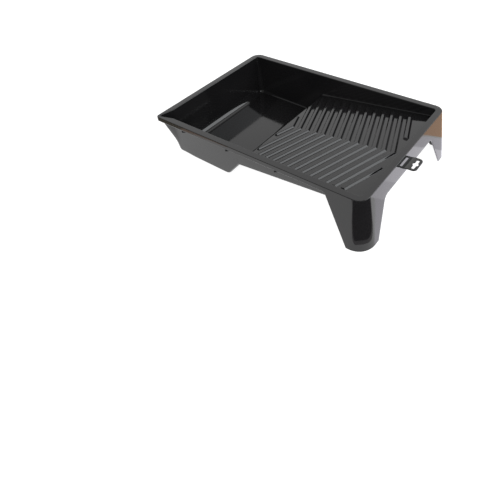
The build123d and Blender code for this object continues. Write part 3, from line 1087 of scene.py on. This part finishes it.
def build_dome():
    """Dim studio around the tray, with a pale wall at the back left; the camera looks past it."""
    mesh = bmesh.new()
    bmesh.ops.create_uvsphere(mesh, u_segments=48, v_segments=24, radius=DOME_RADIUS)
    material = glow_material("studio_dome", (1, 1, 1))
    tree = material.node_tree
    glow = tree.nodes["Emission"]
    place = tree.nodes.new("ShaderNodeTexCoord").outputs["Object"]
    dot = tree.nodes.new("ShaderNodeVectorMath")
    dot.operation = "DOT_PRODUCT"
    dot.inputs[1].default_value = Vector(WALL_DIRECTION).normalized() / DOME_RADIUS
    tree.links.new(place, dot.inputs[0])
    strength = remap(tree, dot.outputs["Value"], *WALL_SPREAD, DOME_DARK, WALL_GLOW)
    tree.links.new(strength, glow.inputs["Strength"])
    dome = stage_piece("studio_dome", mesh, material)
    dome.visible_camera = False


def add_area(name, place, target, size, radiance, colour=(1, 1, 1)):
    """Soft rectangular light aimed at a target."""
    light = bpy.data.lights.new(name, "AREA")
    light.shape = "RECTANGLE"
    light.size, light.size_y = size
    light.energy = radiance * math.pi * size[0] * size[1]
    light.color = colour
    lamp = bpy.data.objects.new(name, light)
    lamp.location = place
    lamp.rotation_mode = "QUATERNION"
    lamp.rotation_quaternion = (Vector(target) - Vector(place)).to_track_quat("-Z", "Y")
    bpy.context.scene.collection.objects.link(lamp)
    return lamp


def build_world():
    """White backdrop behind the floor's horizon."""
    world = bpy.data.worlds.new("studio")
    bpy.context.scene.world = world
    world.use_nodes = True
    background = world.node_tree.nodes["Background"]
    background.inputs["Color"].default_value = (1.0, 1.0, 1.0, 1)
    background.inputs["Strength"].default_value = 1.0


def build_studio():
    """Floor, backdrop, dim dome, window light and the glowing cards that paint reflections into the tray's
    gloss.
    """
    build_floor()
    build_world()
    build_dome()
    build_card("spout_card", SPOUT_CARD, PAINTED_SPOUT_REFLECTION)
    build_card("near_card", NEAR_CARD, PAINTED_NEAR_REFLECTION)
    build_card("leg_ring", LEG_RING, PAINTED_LEG_RING_REFLECTION, RING_HEIGHT)
    build_card("leg_card", LEG_CARD, PAINTED_LEG_DARK_REFLECTION)
    build_card("end_card", END_CARD, PAINTED_END_REFLECTION)
    left, right = SKIRT_CARD_X
    for name, low, glow in SKIRT_CARDS:
        corners = ((left, low), (right, low), (right, SKIRT_CARD_END), (left, SKIRT_CARD_END))
        height = CARD_HEIGHT + SKIRT_CARD_LIFT * glow
        build_card(name, corners, (glow, glow * 0.98, glow * 1.05), height)
    build_card("far_card", FAR_CARD, PAINTED_FAR_REFLECTION)
    middle = (cad_box[0] + cad_box[1]) / 2
    add_area("window", WINDOW_PLACE, middle, WINDOW_SIZE, WINDOW_RADIANCE, WINDOW_COLOUR)
    fill = add_area("fill", FILL_PLACE, middle, FILL_SIZE, FILL_RADIANCE)
    fill.visible_glossy = False


CAMERA_PLACE = (0.4462, -0.6136, 0.6115)
CAMERA_YAW = 126.24
CAMERA_PITCH = 35.01
CAMERA_ROLL = -1.707
CAMERA_LENS = 37.15
CAMERA_SHIFT = (-0.1067, -0.2633)


def build_camera():
    """Camera at the height and angle of the reference view."""
    data = bpy.data.cameras.new("camera")
    data.lens = CAMERA_LENS
    data.sensor_width = 36
    data.shift_x, data.shift_y = CAMERA_SHIFT
    data.clip_start = 0.01
    data.clip_end = 50
    yaw, pitch, roll = (math.radians(a) for a in (CAMERA_YAW, CAMERA_PITCH, CAMERA_ROLL))
    forward = Vector((math.cos(yaw) * math.cos(pitch), math.sin(yaw) * math.cos(pitch), -math.sin(pitch)))
    level = Vector((math.sin(yaw), -math.cos(yaw), 0))
    up = level.cross(forward)
    right = level * math.cos(roll) + up * math.sin(roll)
    top = right.cross(forward)
    camera = bpy.data.objects.new("camera", data)
    turn = Matrix((right, top, -forward)).transposed().to_4x4()
    camera.matrix_world = Matrix.Translation(CAMERA_PLACE) @ turn
    bpy.context.scene.collection.objects.link(camera)
    bpy.context.scene.camera = camera


# ---------------------------------------------------------------- assembly

def shell_nodes():
    """CAD nodes that the moulded shell stands for."""
    nodes = []
    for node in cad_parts:
        if node in KEPT_NODES or node == "hang_tab" or node.startswith("grip_rib"):
            continue
        nodes.append(node)
    return nodes


def add_shell(tray_plastic):
    """The moulding itself."""
    shell = add_object("moulded_shell", build_shell())
    shell.data.materials.append(tray_plastic)
    weigh_normals(shell)
    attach(shell, "tray")
    replaced = shell_nodes()
    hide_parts(*replaced)


def add_ribs(tray_plastic):
    """The grip ribs on the ramp."""
    for index in range(RIB_COUNT + 1):
        node = "grip_rib_%02d" % index
        rib = add_object("rib_%02d" % index, build_rib(index))
        rib.data.materials.append(tray_plastic)
        weigh_normals(rib)
        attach(rib, "tray")
        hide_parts(node)


def add_tab(tab_plastic):
    """The hanging tab and the two thin webs between the end skirt and its straps."""
    tab = add_object("hanging_tab", build_tab())
    tab.data.materials.append(tab_plastic)
    weigh_normals(tab)
    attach(tab, "tab")
    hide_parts("hang_tab")
    for side, name in ((-1, "near"), (1, "far")):
        web = add_object("hinge_web_" + name, build_web(side))
        web.data.materials.append(tab_plastic)
        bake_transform(web)


def dress_kept_nodes(tray_plastic):
    """The CAD nodes that stay as they are."""
    for node in KEPT_NODES:
        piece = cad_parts[node]
        piece.data.materials.clear()
        piece.data.materials.append(tray_plastic)


def main():
    """Builds and dresses every piece, seats the shell, ribs and tab on their bodies, then adds the studio
    and the camera.
    """
    tray_plastic = black_plastic("tray_plastic", 0.008, 0.05, 0.11, 0.04)
    tab_plastic = black_plastic("tab_plastic", 0.008, 0.06, 0.12, 0.03)
    add_shell(tray_plastic)
    add_ribs(tray_plastic)
    add_tab(tab_plastic)
    dress_kept_nodes(tray_plastic)
    build_studio()
    build_camera()
    bpy.context.scene.view_settings.view_transform = "Standard"


main()
